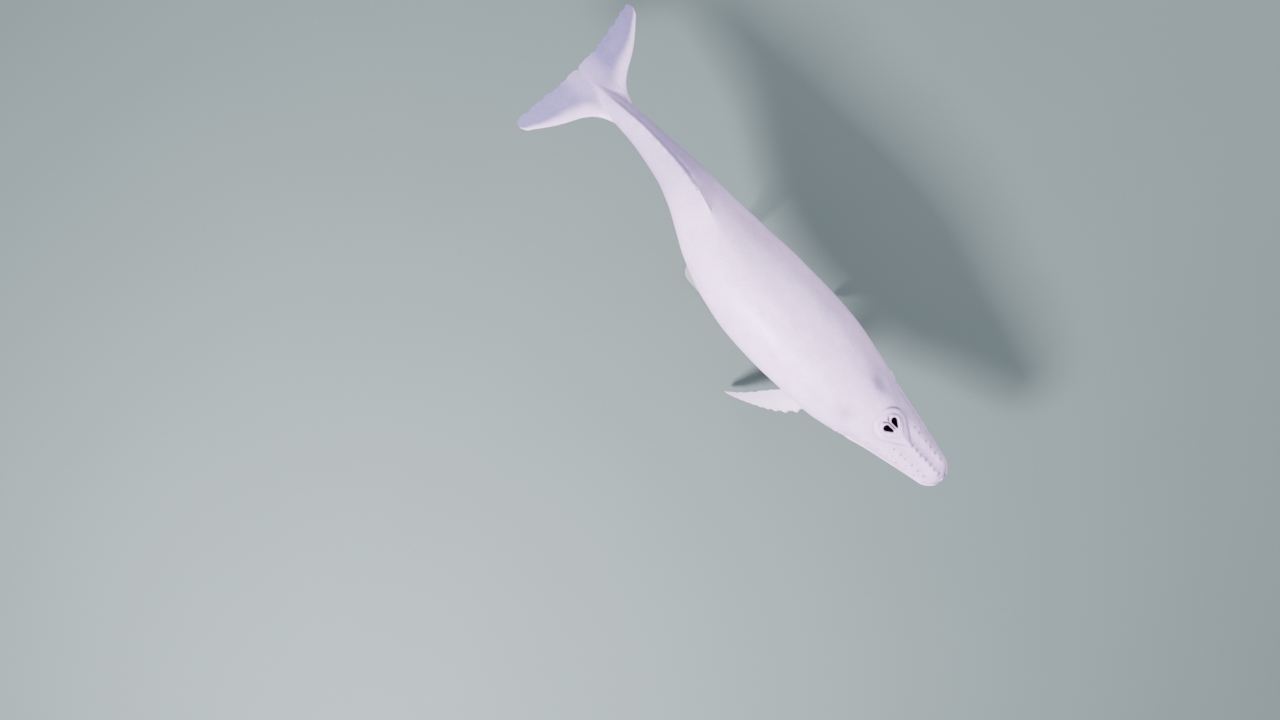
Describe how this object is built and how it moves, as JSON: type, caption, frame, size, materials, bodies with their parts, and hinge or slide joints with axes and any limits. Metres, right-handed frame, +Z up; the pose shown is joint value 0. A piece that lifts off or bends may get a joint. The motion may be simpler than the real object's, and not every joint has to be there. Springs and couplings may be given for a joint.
{
  "type": "humpback whale calf, display model",
  "caption": "Pale young humpback whale as a still life-size model, swimming with its flippers down, held level on two rods over a flat base plate.",
  "frame": {"origin": "middle of the underside of the stand's base plate", "axes": "+X the way the whale heads, nose first, +Y to its left, +Z up"},
  "size_m": [4.9701, 1.5924, 1.6936],
  "materials": {
    "skin": "smooth wet skin, lavender white, faintly mottled",
    "throat": "smooth wet skin, pinkish white, pleated",
    "fins": "smooth wet skin, lilac grey with lighter edges",
    "eyes": "polished, dark brown",
    "rods": "brushed",
    "base": "matt, pale grey"
  },
  "bodies": {
    "root": {"head": "skin", "lower_jaw": "throat", "eye_left": "eyes", "eye_right": "eyes", "chest": "skin", "belly": "skin", "loin": "skin", "dorsal_fin": "fins", "tail_stock": "skin", "fluke_left": "fins", "fluke_right": "fins", "flipper_left": "fins", "flipper_right": "fins", "stand_base": "base", "stand_rod_front": "rods", "stand_rod_rear": "rods"}
  },
  "joints": []
}
